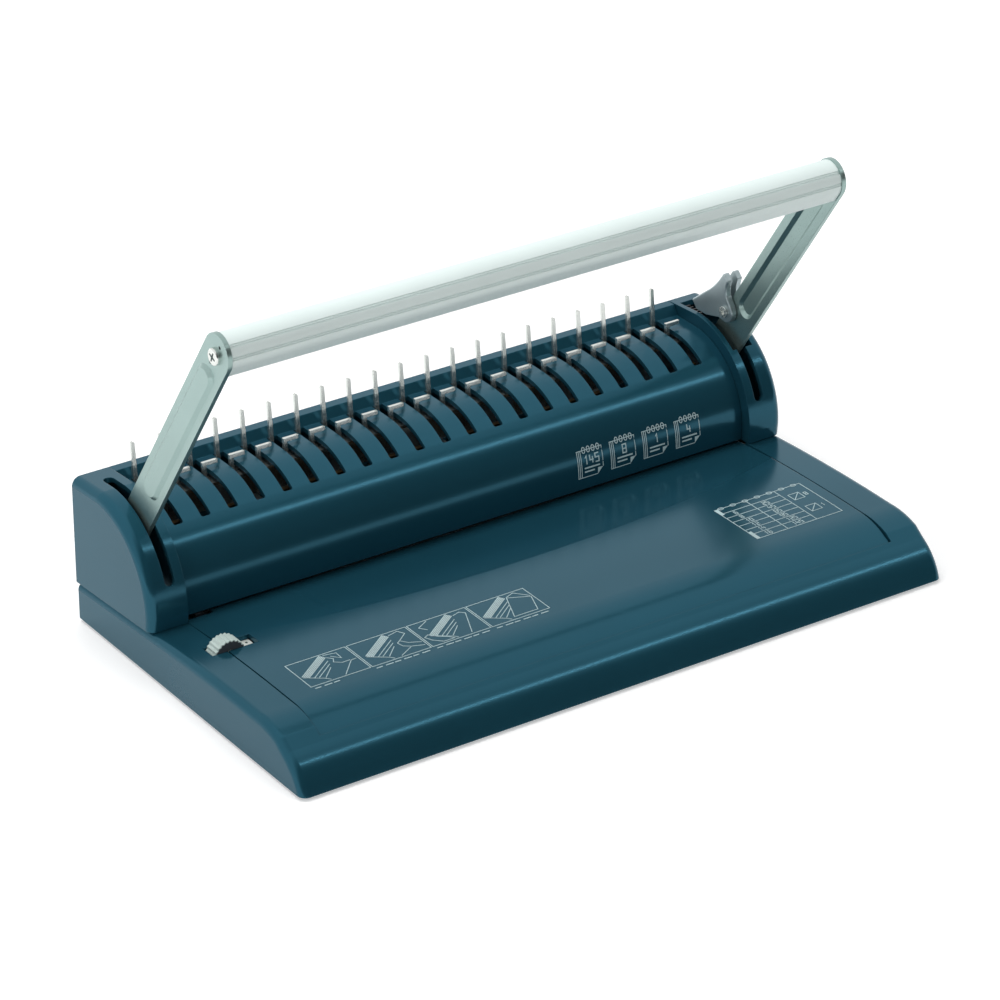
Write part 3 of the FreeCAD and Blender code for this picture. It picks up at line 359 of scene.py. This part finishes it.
def paint(piece, slot_name):
    """Give a new piece the finish named slot_name."""
    piece.data.materials.clear()
    piece.data.materials.append(bpy.data.materials[slot_name])


# Building pieces
def new_piece(name, mesh_maker, body, slot_name, smooth=True):
    mesh = bpy.data.meshes.new(name)
    work = bmesh.new()
    mesh_maker(work)
    bmesh.ops.recalc_face_normals(work, faces=work.faces)
    work.to_mesh(mesh)
    work.free()
    piece = bpy.data.objects.new(name, mesh)
    bpy.context.scene.collection.objects.link(piece)
    if smooth:
        mesh.shade_smooth()
        mesh.set_sharp_from_angle(angle=PIECE_EDGE)
    paint(piece, slot_name)
    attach(piece, body)
    return piece


def surface(node):
    mesh = frame["nodes"][node].data
    return BVHTree.FromPolygons([v.co for v in mesh.vertices], [p.vertices for p in mesh.polygons])


class Pen:
    """Draws printed lines on a CAD surface, on a plane of two of its axes."""

    def __init__(self, work, skin, face):
        self.work = work
        self.skin = skin
        self.face = face
        self.ink = settings()[1]

    def put(self, u, v):
        if self.face == "top":
            hit = self.skin.ray_cast(Vector((u, v, 1.0)), Vector((0, 0, -1)))
        else:
            hit = self.skin.ray_cast(Vector((u, -1.0, v)), Vector((0, 1, 0)))
        if hit[0] is None:
            raise RuntimeError("a printed line runs off its surface")
        return hit[0], hit[1]

    def band(self, left, right, loop=False):
        """Solid strip of ink between two rows of points, or a loop of it."""
        over, under = self.ink.lift, -self.ink.sink
        rings = []
        for a, b in zip(left, right):
            ring = []
            for (u, v), height in ((a, over), (b, over), (b, under), (a, under)):
                spot, normal = self.put(u, v)
                ring.append(self.work.verts.new(spot + normal * height))
            rings.append(ring)
        if loop:
            rings.append(rings[0])
        for one, two in zip(rings, rings[1:]):
            for k in range(4):
                self.work.faces.new((one[k], one[(k + 1) % 4], two[(k + 1) % 4], two[k]))
        if not loop:
            self.work.faces.new(rings[0][::-1])
            self.work.faces.new(rings[-1])

    def line(self, points, width=None):
        """Line of ink through points, joined up where it ends at its start."""
        half = (width or self.ink.line) / 2
        dense = [points[0]]
        for a, b in zip(points, points[1:]):
            count = max(1, int(math.dist(a, b) / PRINT_STEP))
            dense += [(a[0] + (b[0] - a[0]) * i / count, a[1] + (b[1] - a[1]) * i / count)
                      for i in range(1, count + 1)]
        closed = math.dist(points[0], points[-1]) < SAME_POINT
        left, right = [], []
        last = len(dense) - 1
        for i, (u, v) in enumerate(dense):
            before = dense[i - 1] if i else (dense[-2] if closed else dense[0])
            after = dense[i + 1] if i < last else (dense[1] if closed else dense[-1])
            one = Vector((u - before[0], v - before[1]))
            two = Vector((after[0] - u, after[1] - v))
            one = one.normalized() if one.length > NO_LENGTH else two.normalized()
            two = two.normalized() if two.length > NO_LENGTH else one
            along = one + two
            along = along.normalized() if along.length > TURNED_BACK else one
            reach = half / max(MITRE_LIMIT, along.dot(one))
            left.append((u - along.y * reach, v + along.x * reach))
            right.append((u + along.y * reach, v - along.x * reach))
        if closed:
            self.band(left[:-1], right[:-1], True)
        else:
            self.band(left, right)

    def frame(self, u0, v0, u1, v1):
        self.line([(u0, v0), (u1, v0), (u1, v1), (u0, v1), (u0, v0)], self.ink.fine)

    def ring(self, u, v, ru, rv):
        turn = [2 * math.pi * i / RING_SIDES for i in range(RING_SIDES)] + [0.0]
        self.line([(u + ru * math.cos(a), v + rv * math.sin(a)) for a in turn], self.ink.fine)

    def fill(self, corners):
        """Four-cornered patch, given as left low, left high, right low, right high."""
        self.band(corners[:2], corners[2:])

    def digits(self, text, u, v, height, width=None):
        """Plain numbers, written with straight strokes from a lower left corner."""
        wide = height * DIGIT_WIDE
        gap = height * DIGIT_GAP
        for mark in text:
            for stroke in DIGIT_STROKES[mark]:
                points = [(u + p * wide, v + q * height / 2) for p, q in stroke]
                self.line(points, width or self.ink.fine)
            u += wide + gap


def draw_steps(work):
    """Four pictures of the machine at work, each in its own frame."""
    ink = settings()[1]
    pen = Pen(work, surface("table_panel"), "top")
    u_first, v_top = ink.strip_corner[0], ink.strip_corner[1]
    wide, deep = ink.strip_frame[0], ink.strip_frame[1]
    for step, shift in enumerate(STEP_SHIFTS):
        u0 = u_first + step * (wide + STEP_GAP)

        def draw(points, width=ink.fine):
            pen.line([(u0 + p * wide, v_top - deep + q * deep) for p, q in points], width)

        pen.frame(u0, v_top - deep, u0 + wide, v_top)
        for share in (0.0, 0.25, 0.5, 0.75, 1.0):
            draw([(0.04 + shift + 0.08 * share, 0.43 - 0.09 * share),
                  (0.56 + shift + 0.05 * share, 0.97 - 0.12 * share)], ink.line)
        for points in MACHINE_LINES + PICTURE_LINES[step]:
            moved = shift if points in MACHINE_LINES else 0.0
            draw([(p + moved, q) for p, q in points])
        for k in range(3 if step == 0 else 6):
            start = u0 + (0.03 + 0.155 * k) * wide
            low = v_top - deep - CAPTION_DROP
            pen.line([(start, low), (start + (0.10 + 0.03 * (k % 2)) * wide, low)], ink.line)


def draw_table(work):
    """Comb sizes and page counts in a ruled table drawn as a page."""
    ink = settings()[1]
    pen = Pen(work, surface("table_panel"), "top")
    u0, v1 = ink.table_corner[0], ink.table_corner[1]
    wide, deep = ink.table_frame[0], ink.table_frame[1]
    u1, v0 = u0 + wide, v1 - deep
    pen.frame(u0, v0, u1, v1)
    pen.fill([(u0, v0), (u0, v1), (u0 + TABLE_SPINE, v0), (u0 + TABLE_SPINE, v1)])
    first, second = u0 + 0.36 * wide, u0 + 0.70 * wide
    pen.line([(first, v0), (first, v1)], ink.fine)
    pen.line([(second, v0), (second, v1)], ink.fine)
    rows = len(TABLE_ROWS)
    for row, (comb, pages) in enumerate(TABLE_ROWS):
        low = v1 - (row + 1) * deep / rows
        if row < rows - 1:
            pen.line([(u0, low), (second, low)], ink.fine)
        pen.digits(comb, u0 + 0.13 * wide, low + 1.1 * MM, TABLE_DIGIT)
        pen.digits(pages, first + 0.10 * wide, low + 1.1 * MM, TABLE_DIGIT)
    for k in range(TABLE_RINGS):
        pen.ring(u0 + (k + 0.5) * wide / TABLE_RINGS, v1, 1.5 * MM, 1.0 * MM)
    for text, low in (("8", 0.62), ("1", 0.22)):
        u, v = second + 0.06 * wide, v0 + low * deep
        pen.frame(u, v, u + 0.12 * wide, v + 0.17 * deep)
        pen.line([(u, v), (u + 0.12 * wide, v + 0.17 * deep)], ink.fine)
        pen.digits(text, u + 0.155 * wide, v + 1.4 * MM, TABLE_DIGIT)


def draw_pages(work):
    """Row of small bound pages with a number on each."""
    ink = settings()[1]
    pen = Pen(work, surface("hood"), "front")
    pitch, wide, high = ink.page_frame
    for k, text in enumerate(PAGE_NUMBERS):
        u0 = ink.page_corner[0] + k * pitch
        v0 = ink.page_corner[2]
        u1, v1 = u0 + wide, v0 + high
        fold = 0.22 * wide
        pen.line([(u1 - fold, v0), (u0, v0), (u0, v1), (u1, v1), (u1, v0 + fold)], ink.fine)
        pen.fill([(u1 - fold, v0), (u1 - fold, v0 + fold), (u1 - 0.02 * wide, v0 + 0.98 * fold),
                  (u1, v0 + fold)])
        for share in (0.07, 0.14):
            pen.line([(u0 + share * wide, v0), (u0 + share * wide, v1)], ink.fine)
        for k_ring in range(PAGE_RINGS):
            pen.ring(u0 + (0.28 + 0.19 * k_ring) * wide, v1, 0.85 * MM, 1.35 * MM)
        run = (len(text) * (DIGIT_WIDE + DIGIT_GAP) - DIGIT_GAP) * PAGE_DIGIT
        pen.digits(text, u0 + 0.56 * wide - run / 2, v0 + 0.48 * high, PAGE_DIGIT, ink.line)
        start = u0 + 0.25 * wide
        for low, share in ((0.34, 0.62), (0.20, 0.40)):
            v = v0 + low * high
            pen.line([(start, v), (start + share * wide, v)], PAGE_STROKE)


def draw_tag(work):
    """Plain pointer and stroke on the size tag."""
    pen = Pen(work, surface("size_tag"), "top")
    mesh = frame["nodes"]["size_tag"].data
    low = min(v.co.x for v in mesh.vertices)
    high = max(v.co.x for v in mesh.vertices)
    u = low + 0.56 * (high - low)
    pen.fill([(u - 0.6 * MM, 1.5 * MM), (u - 0.2 * MM, 2.6 * MM),
              (u + 0.4 * MM, 1.1 * MM), (u + 0.7 * MM, 2.2 * MM)])
    pen.line([(low + 0.7 * MM, 0.2 * MM), (low + 1.1 * MM, 1.4 * MM)])


def prism(work, outline, shift):
    """Closed flat piece from an outline, a list of rings of points, and a shift to its far side."""
    near = [[work.verts.new(p) for p in ring] for ring in outline]
    far = [[work.verts.new(Vector(p) + shift) for p in ring] for ring in outline]
    for one, two in zip(near, far):
        for k in range(len(one)):
            j = (k + 1) % len(one)
            work.faces.new((one[k], one[j], two[j], two[k]))
    for side in (near, far):
        if len(side) == 1:
            work.faces.new(side[0])
            continue
        outer, inner = side
        for k in range(len(outer)):
            j = (k + 1) % len(outer)
            work.faces.new((outer[k], outer[j], inner[j], inner[k]))


def draw_wheel_face(work):
    """Ribbed dark face on the front of the thumbwheel."""
    small = settings()[2]
    spots = [v.co for v in frame["nodes"]["thumbwheel"].data.vertices]
    front = min(s.y for s in spots)
    axis = Vector(joint("wheel_turn")["pos_m"])
    rim = {(round(s.x - axis.x, 6), round(s.z - axis.z, 6)) for s in spots if s.y < front + LEVEL}
    rim = sorted((p for p in rim if math.hypot(*p) > TEETH_FROM), key=lambda p: math.atan2(p[1], p[0]))
    outer, inner = [], []
    for x, z in rim:
        reach = math.hypot(x, z)
        share = (reach - small.face_rim) / reach
        for ring, scale in ((outer, share), (inner, FACE_HOLE)):
            ring.append((axis.x + x * scale, front + FACE_ROOT, axis.z + z * scale))
    prism(work, [outer, inner], Vector((0, -FACE_ROOT - small.face_thick, 0)))


def draw_crosses(work):
    """Flat dark cross laid on each arm screw's head, painted shade standing for its cross recess."""
    small = settings()[2]
    mesh = frame["nodes"]["arm_screws"].data
    wide, reach = small.cross_width / 2, small.cross_reach
    for side in (-1, 1):
        spots = [v.co for v in mesh.vertices if v.co.x * side > 0]
        face = max(s.x * side for s in spots) * side
        head = [s for s in spots if abs(s.x - face) < LEVEL]
        y = (min(s.y for s in head) + max(s.y for s in head)) / 2
        z = (min(s.z for s in head) + max(s.z for s in head)) / 2
        outline = []
        for quarter in range(4):
            turn = math.radians(CROSS_TURN + 90 * quarter)
            for a, b in ((wide, wide), (reach, wide * CROSS_TAPER), (reach, -wide * CROSS_TAPER)):
                outline.append((face - side * CROSS_ROOT, y + a * math.cos(turn) + b * math.sin(turn),
                                z + a * math.sin(turn) - b * math.cos(turn)))
        prism(work, [outline], Vector((side * CROSS_THICK, 0, 0)))


def draw_coils(work):
    """Two wound springs where the modelled sleeves stand."""
    small = settings()[2]
    mesh = frame["nodes"]["return_springs"].data
    for side in (-1, 1):
        spots = [v.co for v in mesh.vertices if v.co.x * side > 0]
        low = Vector([min(s[k] for s in spots) for k in range(3)])
        high = Vector([max(s[k] for s in spots) for k in range(3)])
        middle = (low + high) / 2
        radius = (high.x - low.x) / 2 - small.wire
        shut = CLOSED_PITCH * small.wire
        rise = (high.z - low.z - 2 * small.wire - 2 * shut) / (small.coils - 2)
        rings = []
        for i in range(int(TURN_STEPS * small.coils) + 1):
            turn = i / TURN_STEPS
            z = low.z + small.wire + shut * min(turn, 1)
            z += rise * min(max(turn - 1, 0), small.coils - 2) + shut * max(turn - small.coils + 1, 0)
            a = 2 * math.pi * turn
            out = Vector((math.cos(a), math.sin(a), 0))
            centre = Vector((middle.x, middle.y, z)) + out * radius
            ring = []
            for k in range(WIRE_SIDES):
                p = 2 * math.pi * k / WIRE_SIDES
                ring.append(work.verts.new(
                    centre + (out * math.cos(p) + Vector((0, 0, math.sin(p)))) * small.wire))
            rings.append(ring)
        for one, two in zip(rings, rings[1:]):
            for k in range(WIRE_SIDES):
                j = (k + 1) % WIRE_SIDES
                work.faces.new((one[k], one[j], two[j], two[k]))
        work.faces.new(rings[0][::-1])
        work.faces.new(rings[-1])


def mark_crease(mesh):
    """Keep the slight fold across the table crisp under smooth shading."""
    work = bmesh.new()
    work.from_mesh(mesh)
    sharp = mesh.attributes.get("sharp_edge") or mesh.attributes.new("sharp_edge", "BOOLEAN", "EDGE")
    for edge in work.edges:
        middle = (edge.verts[0].co + edge.verts[1].co) / 2
        inner = len(edge.link_faces) == 2 and middle.y > CREASE_FRONT
        if inner and edge.calc_face_angle() > CREASE_EDGE:
            sharp.data[edge.index].value = True
    work.free()


class BINDER_OT_finishes(bpy.types.Operator):
    """Give every modelled piece its finish"""
    bl_idname = "binder.finishes"
    bl_label = "Finishes"

    def execute(self, context):
        made = make_finishes()
        for entry in frame["record"]["subparts"]:
            node = frame["nodes"][entry["node"]]
            node.data.materials.clear()
            node.data.materials.append(made[entry["material_slot"]])
            node.data.shade_smooth()
            node.data.set_sharp_from_angle(angle=MODEL_EDGE)
        mark_crease(frame["nodes"]["table_panel"].data)
        return {"FINISHED"}


class BINDER_OT_steps(bpy.types.Operator):
    """Print the four working pictures on the table"""
    bl_idname = "binder.steps"
    bl_label = "Working pictures"

    def execute(self, context):
        new_piece("steps_print", draw_steps, "frame", "ink", False)
        return {"FINISHED"}


class BINDER_OT_table(bpy.types.Operator):
    """Print the capacity table"""
    bl_idname = "binder.table"
    bl_label = "Capacity table"

    def execute(self, context):
        new_piece("table_print", draw_table, "frame", "ink", False)
        return {"FINISHED"}


class BINDER_OT_pages(bpy.types.Operator):
    """Print the row of page pictures on the hood"""
    bl_idname = "binder.pages"
    bl_label = "Page pictures"

    def execute(self, context):
        new_piece("pages_print", draw_pages, "frame", "ink", False)
        return {"FINISHED"}


class BINDER_OT_tag(bpy.types.Operator):
    """Print the mark on the size tag"""
    bl_idname = "binder.tag"
    bl_label = "Tag mark"

    def execute(self, context):
        new_piece("tag_mark", draw_tag, "frame", "recess", False)
        return {"FINISHED"}


class BINDER_OT_wheel(bpy.types.Operator):
    """Add the thumbwheel's dark face"""
    bl_idname = "binder.wheel"
    bl_label = "Wheel face"

    def execute(self, context):
        new_piece("wheel_face", draw_wheel_face, "wheel", "dark_plastic", False)
        return {"FINISHED"}


class BINDER_OT_crosses(bpy.types.Operator):
    """Add the painted-shade crosses on the arm screws"""
    bl_idname = "binder.crosses"
    bl_label = "Screw crosses"

    def execute(self, context):
        # The crosses are a dark sheet of painted shade; the modelled screw heads have no recess
        new_piece("screw_crosses", draw_crosses, "handle", "recess", False)
        return {"FINISHED"}


class BINDER_OT_coils(bpy.types.Operator):
    """Wind the two return springs"""
    bl_idname = "binder.coils"
    bl_label = "Return springs"

    def execute(self, context):
        coils = new_piece("return_coils", draw_coils, "frame", "nickel_steel")
        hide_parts("return_springs")
        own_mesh(coils)
        return {"FINISHED"}


class BINDER_OT_stage(bpy.types.Operator):
    """Set the floor, the light and the camera"""
    bl_idname = "binder.stage"
    bl_label = "Stage"

    def execute(self, context):
        stage = settings()[3]
        scene = context.scene
        scene.view_settings.view_transform = "Standard"
        make_world(scene, stage.sky)
        make_floor(scene)
        for name, values in LAMPS.items():
            add_lamp(scene, name + "_light", getattr(stage, name), *values)
        make_camera(scene, stage)
        return {"FINISHED"}


def seen_rays(tree):
    """One where a ray comes from the camera, a reflection or glass, and otherwise nought."""
    path = tree.nodes.new("ShaderNodeLightPath")
    total = path.outputs["Is Camera Ray"]
    for name in ("Is Glossy Ray", "Is Transmission Ray"):
        total = combine(tree, "MAXIMUM", total, path.outputs[name])
    return total


def room_light(tree):
    """White room whose front wall is dim to reflections, as behind a camera."""
    coords = tree.nodes.new("ShaderNodeTexCoord")
    split = tree.nodes.new("ShaderNodeSeparateXYZ")
    tree.links.new(coords.outputs["Generated"], split.inputs[0])
    wall = ramp(tree, split.outputs["Y"], WALL_SPAN, WALL_LIGHT)
    path = tree.nodes.new("ShaderNodeLightPath")
    return combine(tree, "MAXIMUM", path.outputs["Is Camera Ray"], wall)


def make_world(scene, strength):
    world = bpy.data.worlds.new("studio")
    scene.world = world
    world.use_nodes = True
    tree = world.node_tree
    back = tree.nodes["Background"]
    back.inputs["Color"].default_value = WHITE
    level = tree.nodes.new("ShaderNodeMapRange")
    level.inputs["To Min"].default_value = strength
    tree.links.new(seen_rays(tree), level.inputs["Value"])
    tree.links.new(room_light(tree), level.inputs["To Max"])
    tree.links.new(level.outputs["Result"], back.inputs["Strength"])


def make_floor(scene):
    corners = [(x * FLOOR_HALF, y * FLOOR_HALF, 0) for x, y in ((-1, -1), (1, -1), (1, 1), (-1, 1))]
    mesh = bpy.data.meshes.new("floor")
    mesh.from_pydata(corners, [], [(0, 1, 2, 3)])
    floor = bpy.data.objects.new("floor", mesh)
    scene.collection.objects.link(floor)
    material, tree, shader, where = base_nodes("pale_floor")
    clouds = tint(tree, noise(tree, where, FLOOR_CLOUD), FLOOR_DARK, FLOOR_LIGHT)
    tree.links.new(clouds, shader.inputs["Base Color"])
    shader.inputs["Roughness"].default_value = FLOOR_ROUGH
    shader.inputs["Specular IOR Level"].default_value = 0.0
    shader.inputs["Emission Color"].default_value = WHITE
    away = tree.nodes.new("ShaderNodeVectorMath")
    away.operation = "LENGTH"
    tree.links.new(where, away.inputs[0])
    fade = ramp(tree, away.outputs["Value"], FLOOR_SPAN, FLOOR_GLOW)
    glow = combine(tree, "MULTIPLY", seen_rays(tree), fade)
    tree.links.new(glow, shader.inputs["Emission Strength"])
    mesh.materials.append(material)


def add_lamp(scene, name, power, spot, aim, size, mirrored):
    lamp = bpy.data.lights.new(name, "AREA")
    lamp.energy = power
    lamp.shape = "RECTANGLE"
    lamp.size, lamp.size_y = size
    holder = bpy.data.objects.new(name, lamp)
    holder.location = spot
    holder.visible_glossy = mirrored
    back = (Vector(spot) - Vector(aim)).normalized()
    along = (Vector((1, 0, 0)) - back * back.x).normalized()
    holder.rotation_euler = Matrix((along, back.cross(along), back)).transposed().to_euler()
    scene.collection.objects.link(holder)


def make_camera(scene, stage):
    turn = math.radians(stage.azimuth)
    rise = math.radians(stage.elevation)
    flat = math.cos(rise)
    back = Vector((-math.sin(turn) * flat, -math.cos(turn) * flat, math.sin(rise)))
    camera = bpy.data.cameras.new("photo_camera")
    camera.lens = stage.lens
    camera.sensor_width = SENSOR
    camera.clip_end = FAR_CLIP
    holder = bpy.data.objects.new("photo_camera", camera)
    holder.location = Vector(stage.target) + back * stage.distance
    holder.rotation_euler = (-back).to_track_quat("-Z", "Y").to_euler()
    scene.collection.objects.link(holder)
    scene.camera = holder


class BINDER_PT_panel(bpy.types.Panel):
    """Lists the machine's operators and settings"""
    bl_idname = "BINDER_PT_panel"
    bl_label = "Comb binding machine"
    bl_space_type = "VIEW_3D"
    bl_region_type = "UI"
    bl_category = "Binder"

    def draw(self, context):
        for operator in operators:
            self.layout.operator(operator.bl_idname)
        for group in settings():
            for name in group.__annotations__:
                self.layout.prop(group, name)


groups = (BinderFinish, BinderPrint, BinderSmall, BinderStage)
operators = (BINDER_OT_finishes, BINDER_OT_steps, BINDER_OT_table, BINDER_OT_pages, BINDER_OT_tag,
             BINDER_OT_wheel, BINDER_OT_crosses, BINDER_OT_coils, BINDER_OT_stage)


def register():
    for item in groups + operators + (BINDER_PT_panel,):
        bpy.utils.register_class(item)
    bpy.types.Scene.binder_finish = bpy.props.PointerProperty(type=BinderFinish)
    bpy.types.Scene.binder_print = bpy.props.PointerProperty(type=BinderPrint)
    bpy.types.Scene.binder_small = bpy.props.PointerProperty(type=BinderSmall)
    bpy.types.Scene.binder_stage = bpy.props.PointerProperty(type=BinderStage)


def unregister():
    for name in ("binder_finish", "binder_print", "binder_small", "binder_stage"):
        delattr(bpy.types.Scene, name)
    for item in reversed(groups + operators + (BINDER_PT_panel,)):
        bpy.utils.unregister_class(item)


def main():
    register()
    for operator in operators:
        name = operator.bl_idname.split(".")[1]
        getattr(bpy.ops.binder, name)()


if __name__ == "__main__":
    main()
